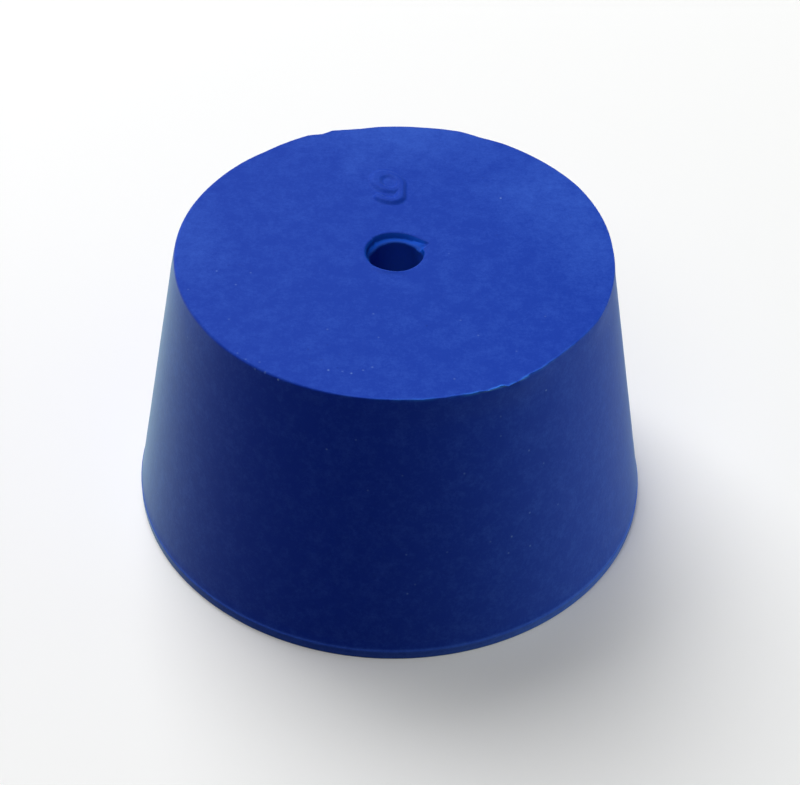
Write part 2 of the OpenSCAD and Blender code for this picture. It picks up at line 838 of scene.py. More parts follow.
        # Heights: the floor drops to its own depth, and the hole's top settles with it.
        depth = self.floor_depth(azimuth, across, width)
        settle = np.clip(1.0 - (below - section.mouth_depth) / self.settle_depth, 0.0, 1.0)
        sunk = np.where(share < 1.0, share * depth, below + (depth - section.mouth_depth) * settle)
        points.place[inside, 2] = section.height - sunk[inside]
        # The face swells up beside the near edge.
        turn = (azimuth - self.bulge_at) / self.bulge_w
        swell = np.clip(1.0 - np.clip(away, 0.0, None) / self.bulge_reach, 0.0, 1.0) ** 2
        rise = self.bulge_rise * np.exp(-(turn**2)) * swell * (1.0 - share)
        points.place[:, 2] += np.where(face | inside, rise, 0.0)


@dataclass(frozen=True)
class Rim:
    """The small end's rim: its uneven outline, changing roundness, a nick with a raised lip and flash."""

    # The outline's step in or out from the taper, and how far down and in the step reaches.
    outline: Stations = (
        (-150.0, -0.07), (-132.0, 0.01), (-90.0, 0.06), (-76.0, 0.17), (-57.0, 0.31), (-50.0, 0.2),
        (-46.0, 0.08), (-40.0, 0.02), (-34.0, 0.07), (-26.0, 0.18), (-14.0, 0.1), (5.0, 0.05),
        (33.0, 0.36), (60.0, 0.34), (67.0, 0.16), (73.0, 0.32), (84.0, 0.06), (96.0, -0.05),
        (101.0, -0.19), (105.0, -0.13), (109.0, 0.06), (112.0, -0.2), (116.0, 0.08), (130.0, -0.16),
        (138.0, -0.08), (165.0, -0.05),
    )
    outline_reach: Stations = (
        (-95.0, 2.8), (-40.0, 2.8), (0.0, 1.8), (60.0, 1.3), (130.0, 1.3), (180.0, 1.8),
    )
    # How much rounder or sharper the edge is than in the half section.
    roundness: Stations = (
        (-120.0, 1.5), (-98.0, 0.7), (-50.0, 0.5), (0.0, 0.9), (90.0, 1.0), (150.0, 1.9), (190.0, 1.9),
    )
    blend: float = 1.0
    # The nick and the ragged stretch round it.
    nick: Stations = (
        (-68.0, 0.0), (-66.5, 0.16), (-64.0, 0.04), (-62.0, 0.08), (-61.0, 0.38), (-58.0, 0.18),
        (-56.0, 0.0),
    )
    nick_depth: float = 0.1
    nick_reach: float = 0.5
    rough: Stations = ((-92.0, 0.0), (-80.0, 0.06), (-55.0, 0.08), (-46.0, 0.03), (-38.0, 0.0))
    rough_line: Ragged = Ragged(300, 11)
    # Thin flash, and a painted highlight along the edge, where it catches light.
    flash: Stations = ((-115.0, 0.0), (-95.0, 0.02), (-75.0, 0.05), (-45.0, 0.05), (-30.0, 0.0))
    flash_w: float = 0.14
    flash_line: Ragged = Ragged(260, 5)
    flash_least: float = 0.2
    rim_highlight: Stations = (
        (-105.0, 0.0), (-85.0, 0.5), (-68.0, 0.9), (-62.0, 1.6), (-57.0, 1.4), (-53.0, 0.4),
        (-35.0, 0.2), (-20.0, 0.0),
    )
    rim_highlight_w: float = 0.22
    rim_highlight_line: Ragged = Ragged(260, 8)
    rim_highlight_share: float = 0.75
    rim_highlight_swing: float = 1.1

    def bend(self, distance: np.ndarray, near: float, scale: np.ndarray) -> np.ndarray:
        """Stretches what lies close to the corner and takes it up again further off.

        Args:
            distance: each point's distance from the corner.
            near: how far the rounding reaches.
            scale: how much the rounding grows.

        Returns:
            The new distances.
        """
        eased = near * scale + (distance - near) * (self.blend - near * scale) / (self.blend - near)
        return np.where(distance < near, distance * scale, np.where(distance < self.blend, eased, distance))

    def shape(self, points: Points, section: HalfSection) -> None:
        """Moves the rim and what lies near it, and marks where a highlight is painted along its edge.

        Args:
            points: the skin's points.
            section: the half section that they were swept from.
        """
        azimuth, below = points.azimuth, section.height - points.height
        inward = section.taper_r(points.height) - points.radius
        upper = (points.zone == Zone.SMALL_FACE) | (points.height > section.height / 2.0)
        upper &= points.radius > section.small_r / 2.0
        # The edge's rounding grows or shrinks round the rim.
        scale = around(azimuth, self.roundness)
        sunk = self.bend(below, section.small_edge_r, scale)
        drawn = self.bend(inward, section.small_edge_r, scale)
        rounding = section.taper_r(section.height - sunk) - drawn - points.radius
        # The outline moves the whole rim, and the nick and its roughness only the sharp edge.
        reach = around(azimuth, self.outline_reach)
        wide = smooth(1.0 - sunk / reach) * smooth(1.0 - drawn / reach)
        sharp = np.clip(1.0 - sunk / self.nick_depth, 0.0, 1.0)
        sharp *= np.clip(1.0 - drawn / self.nick_reach, 0.0, 1.0)
        nick = around(azimuth, self.nick) + around(azimuth, self.rough) * self.rough_line.at(azimuth)
        outset = around(azimuth, self.outline) * wide + nick * sharp
        points.push(np.where(upper, rounding + outset, 0.0))
        # Thin flash stands up along the edge.
        swing = (1.0 - self.flash_least) / 2.0
        fins = around(azimuth, self.flash) * (1.0 - swing + swing * self.flash_line.at(azimuth))
        crest = np.clip(1.0 - np.hypot(2.0 * sunk, drawn) / self.flash_w, 0.0, 1.0)
        points.place[:, 2] += np.where(upper, below - sunk + fins * crest, 0.0)
        # A painted highlight lies along the edge in patches, where it catches light.
        edge_closeness = np.clip(1.0 - np.hypot(sunk, drawn) / self.rim_highlight_w, 0.0, 1.0)
        patchy = np.clip(self.rim_highlight_share + self.rim_highlight_swing * self.rim_highlight_line.at(azimuth), 0.0, 1.0)
        points.rim_highlight = np.where(upper, edge_closeness * around(azimuth, self.rim_highlight) * patchy, 0.0)


# ---------------------------------------------------------------------------------------------
# Skin
# ---------------------------------------------------------------------------------------------


@dataclass(frozen=True)
class Sector:
    """A stretch of azimuth that the sweep crosses with its own spacing."""

    start: float
    end: float
    step: float

    @property
    def lines(self) -> int:
        """How many sweep lines the sector takes."""
        return round((self.end - self.start) / self.step)


@dataclass
class Skin:
    """The stopper's whole surface, swept from its half section by a geometry node tree, then shaped."""

    section: HalfSection
    numeral: Numeral = field(default_factory=Numeral)
    mouth: Mouth = field(default_factory=Mouth)
    rim: Rim = field(default_factory=Rim)
    sectors: tuple[Sector, ...] = (
        Sector(-180.0, -76.0, 2.0),
        Sector(-76.0, -46.0, 0.5),
        Sector(-46.0, -20.0, 2.0),
        Sector(-20.0, 79.0, 1.0),
        Sector(79.0, 110.0, 0.34),
        Sector(110.0, 146.0, 1.0),
        Sector(146.0, 180.0, 2.0),
    )
    sweep_r: float = 12.0
    # The moulded side's slow waves, which fade out below still_h and between the two radii of still_r.
    wave_h: float = 0.16
    wave_seed: float = 4.0
    wave_scale: float = 1.6
    wave_detail: float = 2.0
    wave_climb: float = 0.03
    still_h: float = 2.0
    still_r: Pair = (12.0, 17.5)
    end_shift: Pair = (-0.12, 0.03)

    @property
    def lines(self) -> int:
        """How many half sections stand round the axis."""
        return sum(sector.lines for sector in self.sectors)

    def host(self) -> bpy.types.Object:
        """Draws the half section in the XZ plane as a closed loop that knows its zones.

        Returns:
            The object that the node tree is put on.
        """
        points, zones = self.section.points(self.numeral.span)
        count = len(points)
        mesh = bpy.data.meshes.new("stopper_skin")
        edges = [(i, (i + 1) % count) for i in range(count)]
        mesh.from_pydata([(r * MM, 0.0, z * MM) for r, z in points], edges, [])
        zone = mesh.attributes.new("zone", "INT", "POINT")
        zone.data.foreach_set("value", [int(value) for value in zones])
        nominal = mesh.attributes.new("nominal", "FLOAT_VECTOR", "POINT")
        nominal.data.foreach_set("vector", [value for r, z in points for value in (r * MM, 0.0, z * MM)])
        return add_object("stopper_skin", mesh)

    def sweep(self, wiring: Wiring, inputs: bpy.types.NodeOutputs) -> Socket:
        """Sweeps the half section round the axis.

        Args:
            wiring: the tree being built.
            inputs: the tree's named inputs.

        Returns:
            The swept mesh.
        """
        position = wiring.node("GeometryNodeInputPosition").outputs[0]
        parts = wiring.node("ShaderNodeSeparateXYZ", {0: position}).outputs
        flat = {
            "X": wiring.math("SUBTRACT", parts["X"], inputs["Sweep Radius"]),
            "Y": wiring.math("MULTIPLY", parts["Z"], -1.0),
        }
        laid = wiring.node("ShaderNodeCombineXYZ", flat).outputs[0]
        feeds = {"Geometry": inputs["Half Section"], "Position": laid}
        outline = wiring.node("GeometryNodeSetPosition", feeds)
        profile = wiring.node("GeometryNodeMeshToCurve", {0: outline.outputs[0]})
        feeds = {"Resolution": inputs["Sweep Lines"], "Radius": inputs["Sweep Radius"]}
        circle = wiring.node("GeometryNodeCurvePrimitiveCircle", feeds)
        upright = wiring.node("GeometryNodeSetCurveNormal", {"Curve": circle.outputs[0]}, mode="Z_UP")
        feeds = {"Curve": upright.outputs[0], "Profile Curve": profile.outputs[0]}
        swept = wiring.node("GeometryNodeCurveToMesh", feeds)
        feeds = {"Geometry": swept.outputs[0], "Position": self.respaced(wiring, position)}
        return wiring.node("GeometryNodeSetPosition", feeds).outputs[0]

    def respaced(self, wiring: Wiring, position: Socket) -> Socket:
        """Turns evenly spaced sweep lines about the axis to the spacing that the sectors give.

        Args:
            wiring: the tree being built.
            position: the swept points.

        Returns:
            The points at their new azimuths.
        """
        parts = wiring.node("ShaderNodeSeparateXYZ", {0: position}).outputs
        azimuth = wiring.math("ARCTAN2", parts["Y"], parts["X"])
        share = wiring.ramp(azimuth, -math.pi, math.pi, easing=Easing.LINEAR)
        spacing = wiring.node("ShaderNodeFloatCurve", {"Value": share})
        curve = spacing.mapping.curves[0]
        curve.points[0].location = (0.0, 0.0)
        curve.points[-1].location = (1.0, 1.0)
        done = 0
        for sector in self.sectors[:-1]:
            done += sector.lines
            curve.points.new(done / self.lines, (sector.end + 180.0) / 360.0)
        for point in curve.points:
            point.handle_type = "VECTOR"
        spacing.mapping.update()
        turned = wiring.ramp(spacing.outputs[0], 0.0, 1.0, -math.pi, math.pi, Easing.LINEAR)
        feeds = {"Vector": position, "Angle": wiring.math("SUBTRACT", turned, azimuth)}
        return wiring.node("ShaderNodeVectorRotate", feeds, rotation_type="Z_AXIS").outputs[0]

    def waves(self, wiring: Wiring, inputs: bpy.types.NodeOutputs) -> Socket:
        """The slow unevenness of a moulded side, and the small end's shift off the axis.

        Args:
            wiring: the tree being built.
            inputs: the tree's named inputs.

        Returns:
            Each point's offset.
        """
        position = wiring.node("GeometryNodeInputPosition").outputs[0]
        level = wiring.vector_math("MULTIPLY", position, (1.0, 1.0, 0.0))
        outward = wiring.vector_math("NORMALIZE", level)
        height = wiring.node("ShaderNodeSeparateXYZ", {0: position}).outputs["Z"]
        radius = wiring.vector_math("LENGTH", level, output="Value")
        climb = wiring.vector_math("MULTIPLY", position, (0.0, 0.0, self.wave_climb / MM))
        feeds = {
            "Vector": wiring.vector_math("ADD", outward, climb),
            "W": inputs["Wave Seed"],
            "Scale": self.wave_scale,
            "Detail": self.wave_detail,
        }
        noise = wiring.node("ShaderNodeTexNoise", feeds, noise_dimensions="4D")
        swing = wiring.math("SUBTRACT", noise.outputs[0], 0.5)
        up = wiring.ramp(height, self.still_h * MM, inputs["Small End Height"], easing=Easing.LINEAR)
        out = wiring.ramp(radius, *(value * MM for value in self.still_r))
        share = wiring.math("MULTIPLY", up, out)
        wave = wiring.math("MULTIPLY", wiring.math("MULTIPLY", swing, inputs["Wave Height"]), share)
        ripple = wiring.vector_math("SCALE", outward, wave)
        shift = wiring.vector_math("SCALE", inputs["Small End Shift"], share)
        return wiring.vector_math("ADD", ripple, shift)

    def tree(self) -> bpy.types.NodeTree:
        """Builds the node tree that sweeps the half section, raises the numeral and sets the finishes.

        Returns:
            The tree, with named inputs.
        """
        finishes = dict.fromkeys(("Side Finish", "Face Finish", "Mouth Finish", "Hole Finish"), "Material")
        sizes = {
            "Half Section": "Geometry",
            "Sweep Lines": "Int",
            "Sweep Radius": "Float",
            "Wave Height": "Float",
            "Wave Seed": "Float",
            "Small End Height": "Float",
            "Small End Shift": "Vector",
        }
        sockets = {**sizes, **finishes}
        wiring = Wiring.group("stopper_skin", "GeometryNodeTree", sockets, {"Skin": "Geometry"})
        inputs = wiring.inputs()
        feeds = {"Geometry": self.sweep(wiring, inputs), "Offset": self.waves(wiring, inputs)}
        moved = wiring.node("GeometryNodeSetPosition", feeds)
        lift = wiring.node("GeometryNodeGroup", self.numeral.sizes(), node_tree=self.numeral.relief())
        feeds = {
            "Geometry": moved.outputs[0],
            "Selection": self.in_zone(wiring, Zone.SMALL_FACE),
            "Offset": wiring.node("ShaderNodeCombineXYZ", {"Z": lift.outputs[0]}).outputs[0],
        }
        raised = wiring.node("GeometryNodeSetPosition", feeds)
        rounded = wiring.node("GeometryNodeSetShadeSmooth", {"Geometry": raised.outputs[0]})
        realized = wiring.node("GeometryNodeRealizeInstances", {"Geometry": rounded.outputs[0]})
        feeds = {"Geometry": realized.outputs[0], "Material": inputs["Side Finish"]}
        dressed = wiring.node("GeometryNodeSetMaterial", feeds)
        for zone, finish in (
            (Zone.LARGE_FACE, "Face Finish"),
            (Zone.SMALL_FACE, "Face Finish"),
            (Zone.LIP, "Face Finish"),
            (Zone.MOUTH, "Mouth Finish"),
            (Zone.HOLE, "Hole Finish"),
        ):
            feeds = {
                "Geometry": dressed.outputs[0],
                "Selection": self.in_zone(wiring, zone),
                "Material": inputs[finish],
            }
            dressed = wiring.node("GeometryNodeSetMaterial", feeds)
        return wiring.output(dressed.outputs[0])

    @staticmethod
    def in_zone(wiring: Wiring, zone: Zone) -> Socket:
        """Selects the points or faces of a zone, with the Compare node's two whole-number inputs.

        Args:
            wiring: the tree being built.
            zone: the zone.

        Returns:
            The selection.
        """
        own = wiring.node("GeometryNodeInputNamedAttribute", {"Name": "zone"}, data_type="INT").outputs[0]
        first, second = 2, 3
        feeds = {first: own, second: int(zone)}
        return wiring.node("FunctionNodeCompare", feeds, data_type="INT", operation="EQUAL").outputs[0]

    def build(self, finishes: Mapping[str, bpy.types.Material]) -> bpy.types.Object:
        """Builds the skin as one closed mesh with its materials.

        Args:
            finishes: the materials, by the names of the tree's inputs.

        Returns:
            The finished piece.
        """
        skin = self.host()
        tree = self.tree()
        modifier = skin.modifiers.new("sweep", "NODES")
        modifier.node_group = tree
        values: dict[str, Feed] = {
            "Sweep Lines": self.lines,
            "Sweep Radius": self.sweep_r * MM,
            "Wave Height": self.wave_h * MM,
            "Wave Seed": self.wave_seed,
            "Small End Height": self.section.height * MM,
            "Small End Shift": (self.end_shift[0] * MM, self.end_shift[1] * MM, 0.0),
            **finishes,
        }
        for item in tree.interface.items_tree:
            if item.in_out == "INPUT" and item.name in values:
                modifier[item.identifier] = values[item.name]
        evaluated = skin.evaluated_get(bpy.context.evaluated_depsgraph_get())
        mesh = bpy.data.meshes.new_from_object(evaluated)
        skin.modifiers.remove(modifier)
        skin.data = mesh
        points = Points(mesh)
        self.rim.shape(points, self.section)
        self.mouth.shape(points, self.section)
        points.store(mesh)
        self.face_outwards(mesh)
        return skin

    @staticmethod
    def face_outwards(mesh: bpy.types.Mesh) -> None:
        """Turns every face of the closed skin outwards.

        Args:
            mesh: the closed mesh.
        """
        work = bmesh.new()
        work.from_mesh(mesh)
        bmesh.ops.recalc_face_normals(work, faces=work.faces)
        work.to_mesh(mesh)
        work.free()


# ---------------------------------------------------------------------------------------------
# Finishes
# ---------------------------------------------------------------------------------------------


@dataclass(frozen=True)
class SoftPatch:
    """A soft patch where the bloom-and-light layer lies thicker, or thinner where the strength is negative;
    patches paint light and shade into the colour, and dust spots and pits take the same shape.
    """

    centre: Triple
    reach: Triple
    turn: float
    strength: float

    def feeds(self) -> dict[str, Feed]:
        """Inputs of the soft patch group, in metres and radians.

        Returns:
            The values, by the inputs' names.
        """
        return {
            "Centre": tuple(value * MM for value in self.centre),
            "Reach": tuple(value * MM for value in self.reach),
            "Turn": math.radians(self.turn),
            "Strength": self.strength,
        }


@dataclass(frozen=True)
class Fleck:
    """A tiny spot on the small face or on the side, and how strongly it shows."""

    centre: Triple
    strength: float
    radius: float = 0.14
    through: float = 0.8

    @property
    def soft_patch(self) -> SoftPatch:
        """The spot as a soft patch that is drawn out through the surface.

        Returns:
            The patch, which is turned to the side's own azimuth unless it lies on the face.
        """
        x, y, z = self.centre
        if z >= FACE_Z:
            return SoftPatch(self.centre, (self.radius, self.radius, self.through), 0.0, self.strength)
        turn = -math.degrees(math.atan2(y, x))
        return SoftPatch(self.centre, (self.through, self.radius, self.radius), turn, self.strength)


def face_flecks(*spots: Triple) -> tuple[Fleck, ...]:
    """Spots on the small face, each given as X, Y and strength."""
    return tuple(Fleck((x, y, FACE_Z), strength) for x, y, strength in spots)


def side_flecks(*spots: tuple[float, float, float, float]) -> tuple[Fleck, ...]:
    """Spots on the side, each given as X, Y, Z and strength."""
    return tuple(Fleck((x, y, z), strength) for x, y, z, strength in spots)


@dataclass(frozen=True)
class Rubber:
    """How one surface of the moulded rubber looks."""

    name: str
    colour: Colour
    roughness: float = 0.5
    bloom: float = 0.0
    # The colour that the bloom's mottle and the painted light and shade patches lay on.
    bloom_and_light_colour: Colour = (0.042, 0.127, 0.61)
    grain: float = 1.0
    dust: float = 0.0
    sheen: float = 0.0
    # Patches of that colour, which paint light and shade into the surface.
    bloom_and_light_patches: tuple[SoftPatch, ...] = ()
    flecks: tuple[Fleck, ...] = ()
    pits: tuple[Fleck, ...] = ()


# A reach that takes a patch right round the stopper, as a band, such as the painted light round the foot.
ALL_ROUND = 200.0

FACE_RUBBER = Rubber(
    name="rubber_face",
    colour=(0.0078, 0.0445, 0.388),
    bloom=1.25,
    dust=0.004,
    sheen=0.1,
    # These patches paint light into the face's colour: the larger lighter ones at the back and sides are
    # painted sheen where the face catches light from behind, and the others lighten or darken it a little.
    bloom_and_light_patches=(
        SoftPatch((1.0, 18.0, FACE_Z), (14.0, 8.0, 3.0), 0.0, 0.36),
        SoftPatch((12.5, 9.0, FACE_Z), (8.0, 9.0, 3.0), 30.0, 0.29),
        SoftPatch((-17.0, 1.0, FACE_Z), (4.0, 9.0, 3.0), 0.0, 0.2),
        SoftPatch((16.5, 2.0, FACE_Z), (5.0, 9.0, 3.0), 0.0, 0.24),
        SoftPatch((-4.0, 11.8, FACE_Z), (1.8, 3.0, 3.0), 20.0, 0.2),
        SoftPatch((0.9, -4.8, FACE_Z), (1.4, 2.4, 3.0), -25.0, 0.07),
        SoftPatch((0.0, -17.5, FACE_Z), (12.0, 1.6, 3.0), 0.0, 0.03),
        SoftPatch((-2.5, -6.0, FACE_Z), (9.0, 5.0, 3.0), 0.0, -0.06),
        SoftPatch((7.0, 4.0, FACE_Z), (4.5, 5.0, 3.0), 0.0, -0.05),
    ),
    flecks=face_flecks(
        (-4.9, -15.1, 0.55), (-3.1, -15.4, 0.5), (-1.5, -14.6, 0.3), (-2.2, -15.0, 0.28),
        (-3.8, -15.2, 0.23), (4.9, -15.7, 0.27), (6.8, -10.4, 0.27), (-1.6, -8.1, 0.27),
        (-5.2, -10.2, 0.23), (5.4, -8.6, 0.2), (9.8, -12.2, 0.2), (12.2, -7.8, 0.2),
        (-14.6, -3.2, 0.32), (-12.9, -4.9, 0.3), (-11.8, -3.3, 0.25), (-16.7, -5.7, 0.2),
        (-13.1, -9.3, 0.2), (-8.7, -16.3, 1.0), (-9.8, -15.5, 0.35), (-10.6, -15.1, 0.35),
        (-12.1, -13.4, 0.25), (-11.4, -14.1, 0.25), (-10.3, -14.4, 0.22),
    ),
    pits=face_flecks(
        (2.7, -9.4, 0.5), (-6.6, -12.7, 0.5), (-5.5, -13.9, 0.4), (-6.4, -13.9, 0.3),
        (-5.1, -12.1, 0.35), (-4.2, -14.8, 0.3), (-4.1, -13.2, 0.3), (-13.7, -2.4, 0.35),
        (-12.8, -2.3, 0.3), (8.5, 2.7, 0.3), (14.8, 5.5, 0.3), (7.4, 10.8, 0.35), (11.8, 6.8, 0.3),
        (-1.3, -7.0, 0.25),
    ),
)
SIDE_RUBBER = Rubber(
    name="rubber_side",
    colour=(0.0068, 0.036, 0.412),
    bloom=1.7,
    bloom_and_light_colour=(0.036, 0.105, 0.6),
    dust=0.01,
    sheen=0.44,
    # Two bands round the foot paint the land and the lowest side lighter: painted light reflected onto the
    # foot.
    bloom_and_light_patches=(
        SoftPatch((0.0, 0.0, 1.0), (ALL_ROUND, ALL_ROUND, 0.32), 0.0, 0.75),
        SoftPatch((0.0, 0.0, 0.4), (ALL_ROUND, ALL_ROUND, 0.7), 0.0, 0.5),
    ),
    flecks=side_flecks(
        (10.2, -18.2, 10.6, 0.55), (11.6, -17.0, 12.2, 0.45), (11.2, -16.0, 18.2, 0.4),
        (11.8, -17.5, 8.9, 0.4), (1.8, -21.4, 6.9, 0.4), (12.3, -14.1, 23.0, 0.6),
        (-4.9, -18.6, 20.2, 0.4), (6.0, -18.6, 18.0, 0.3), (1.6, -20.7, 10.8, 0.3),
        (12.5, -15.4, 16.3, 0.28), (8.8, -17.0, 20.6, 0.25), (14.0, -15.2, 11.5, 0.25),
        (2.4, -21.2, 7.8, 0.24), (8.7, -16.7, 22.4, 0.24), (-1.6, -19.7, 16.9, 0.24),
        (-2.6, -18.8, 21.5, 0.23), (8.4, -19.0, 10.8, 0.23), (4.9, -20.2, 10.7, 0.22),
        (1.1, -19.5, 18.4, 0.2), (-8.7, -16.1, 25.2, 1.0), (-9.8, -15.5, 25.3, 0.35),
        (-10.6, -15.0, 25.2, 0.35),
    ),
)
MOUTH_RUBBER = Rubber(
    name="rubber_mouth",
    # The mouth's rubber is made lighter than the face's rubber, which paints light onto the shaded wall and
    # ledge of the recess.
    colour=(0.0045, 0.068, 0.48),
    roughness=0.55,
    # A darker colour laid over the mouth is painted shade: a thin even share of it everywhere, and a patch
    # of it on the sunken flap beside the slit.
    bloom_and_light_colour=(0.007, 0.04, 0.33),
    bloom_and_light_patches=(SoftPatch((2.8, 1.35, FACE_Z), (0.75, 0.6, 2.0), 0.0, 1.2),),
)
HOLE_RUBBER = Rubber(
    name="rubber_hole",
    colour=(0.009, 0.058, 0.39),
    roughness=0.6,
    bloom=0.2,
    grain=0.6,
)


@dataclass
class Finishes:
    """The rubber's materials and the shader groups that they share."""

    dust_colour: Colour = (0.2, 0.34, 0.7)
    gloss: float = 0.03
    pit_colour: Colour = (0.004, 0.02, 0.2)
    # The colour of the painted highlight along the rim's edge.
    rim_highlight_colour: Colour = (0.032, 0.18, 0.76)
    sheen_roughness: float = 0.4
    sheen_tint: Colour = (0.68, 1.0, 0.76)
    bloom_base: float = 0.07
    mottle_scale: float = 600.0
    mottle_detail: float = 4.5
    mottle_roughness: float = 1.0
    dust_scale: float = 900.0
    dust_size: float = 0.13
    grain_scale: float = 2600.0
    grain_detail: float = 3.0
    grain_roughness: float = 0.6
    grain_depth: float = 0.012

    def __post_init__(self) -> None:
        """Builds the shared groups."""
        self.mottle = self.mottle_group()
        self.soft_patch = self.soft_patch_group()
        self.dust = self.dust_group()
        self.grain = self.grain_group()

    def mottle_group(self) -> bpy.types.NodeTree:
        """Builds uneven bloom: slow patches with finer ones in them, as a mask about zero.

        Returns:
            The group.
        """
        sockets = {"Vector": "Vector", "Scale": "Float", "Strength": "Float"}
        wiring = Wiring.group("mottle", "ShaderNodeTree", sockets, {"Mask": "Float"})
        inputs = wiring.inputs()
        feeds = {"Vector": inputs["Vector"], "Scale": inputs["Scale"], "Detail": self.mottle_detail}
        noise = wiring.node("ShaderNodeTexNoise", {**feeds, "Roughness": self.mottle_roughness})
        swing = wiring.math("SUBTRACT", noise.outputs[0], 0.5)
        return wiring.output(wiring.math("MULTIPLY", swing, inputs["Strength"]))

    @staticmethod
    def soft_patch_group() -> bpy.types.NodeTree:
        """Builds one soft elliptical patch.

        Returns:
            The group.
        """
        sockets = dict.fromkeys(("Vector", "Centre", "Reach"), "Vector")
        sockets.update(dict.fromkeys(("Turn", "Strength"), "Float"))
        wiring = Wiring.group("soft_patch", "ShaderNodeTree", sockets, {"Mask": "Float"})
        inputs = wiring.inputs()
        away = wiring.vector_math("SUBTRACT", inputs["Vector"], inputs["Centre"])
        feeds = {"Vector": away, "Angle": inputs["Turn"]}
        turned = wiring.node("ShaderNodeVectorRotate", feeds, rotation_type="Z_AXIS")
        share = wiring.vector_math("DIVIDE", turned.outputs[0], inputs["Reach"])
        distance = wiring.vector_math("LENGTH", share, output="Value")
        return wiring.output(wiring.ramp(distance, 1.0, 0.0, 0.0, inputs["Strength"]))

    @staticmethod
    def dust_group() -> bpy.types.NodeTree:
        """Builds sparse fine specks.

        Returns:
            The group.
        """
        sockets = {"Vector": "Vector", "Scale": "Float", "Size": "Float", "Share": "Float"}
        wiring = Wiring.group("dust", "ShaderNodeTree", sockets, {"Mask": "Float"})
        inputs = wiring.inputs()
        cells = wiring.node("ShaderNodeTexVoronoi", {"Vector": inputs["Vector"], "Scale": inputs["Scale"]})
        draw = wiring.node("ShaderNodeSeparateColor", {0: cells.outputs["Color"]}).outputs[0]
        near = wiring.ramp(cells.outputs["Distance"], inputs["Size"], 0.0)
        return wiring.output(wiring.math("MULTIPLY", near, wiring.math("LESS_THAN", draw, inputs["Share"])))

    def grain_group(self) -> bpy.types.NodeTree:
        """Builds the fine grain that a mould leaves, as a height.

        Returns:
            The group.
        """
        sockets = {"Vector": "Vector", "Scale": "Float"}
        wiring = Wiring.group("grain", "ShaderNodeTree", sockets, {"Height": "Float"})
        inputs = wiring.inputs()
        feeds = {"Vector": inputs["Vector"], "Scale": inputs["Scale"], "Detail": self.grain_detail}
        noise = wiring.node("ShaderNodeTexNoise", {**feeds, "Roughness": self.grain_roughness})
        return wiring.output(noise.outputs[0])

    def patch(self, wiring: Wiring, place: Socket, soft_patch: SoftPatch) -> Socket:
        """Places one soft patch.

        Args:
            wiring: the material's tree.
            place: the object coordinates.
            soft_patch: the patch.

        Returns:
            The patch's mask.
        """
        feeds = {"Vector": place, **soft_patch.feeds()}
        return wiring.node("ShaderNodeGroup", feeds, node_tree=self.soft_patch).outputs[0]

    def bloom_and_light_mask(self, wiring: Wiring, place: Socket, rubber: Rubber) -> Socket:
        """Adds up the mottle, which is the bloom's own unevenness, and the patches that paint light and
        shade.

        Args:
            wiring: the material's tree.
            place: the object coordinates.
            rubber: what the surface looks like.

        Returns:
            The mask's socket.
        """
        feeds = {"Vector": place, "Scale": self.mottle_scale, "Strength": rubber.bloom}
        mottle = wiring.node("ShaderNodeGroup", feeds, node_tree=self.mottle).outputs[0]
        mask = wiring.math("ADD", mottle, self.bloom_base)
        # The patches paint light and shade into this layer.
        for soft_patch in rubber.bloom_and_light_patches:
            mask = wiring.math("ADD", mask, self.patch(wiring, place, soft_patch))
        return wiring.ramp(mask, 0.0, 1.0, easing=Easing.LINEAR)

    def spots(
        self, wiring: Wiring, place: Socket, flecks: tuple[Fleck, ...], mask: Feed = 0.0
    ) -> Feed:
        """Joins single spots to a mask.

        Args:
            wiring: the material's tree.
            place: the object coordinates.
            flecks: the spots.
            mask: the mask that they are joined to.

        Returns:
            The mask's socket, or the mask as it was where there are no spots.
        """
        for fleck in flecks:
            mask = wiring.math("MAXIMUM", mask, self.patch(wiring, place, fleck.soft_patch))
        return mask

    def colour(self, wiring: Wiring, place: Socket, rubber: Rubber) -> Socket:
        """Lays bloom with its painted light and shade patches, dust, pits and the painted rim highlight
        over the rubber's own colour, in that order.

        Args:
            wiring: the material's tree.
            place: the object coordinates.
            rubber: what the surface looks like.

        Returns:
            The colour's socket.
        """
        feeds = {"Vector": place, "Scale": self.dust_scale, "Size": self.dust_size, "Share": rubber.dust}
        specks = wiring.node("ShaderNodeGroup", feeds, node_tree=self.dust).outputs[0]
        # The rim's painted highlight, read from the points.
        rim_highlight = wiring.node("ShaderNodeAttribute", attribute_name="rim_highlight").outputs["Fac"]
        colour: Feed = (*rubber.colour, 1.0)
        for mask, layer in (
            (self.bloom_and_light_mask(wiring, place, rubber), rubber.bloom_and_light_colour),
            (self.spots(wiring, place, rubber.flecks, specks), self.dust_colour),
            (self.spots(wiring, place, rubber.pits), self.pit_colour),
            (rim_highlight, self.rim_highlight_colour),
        ):
            colour = wiring.mix(mask, colour, (*layer, 1.0))
        return colour

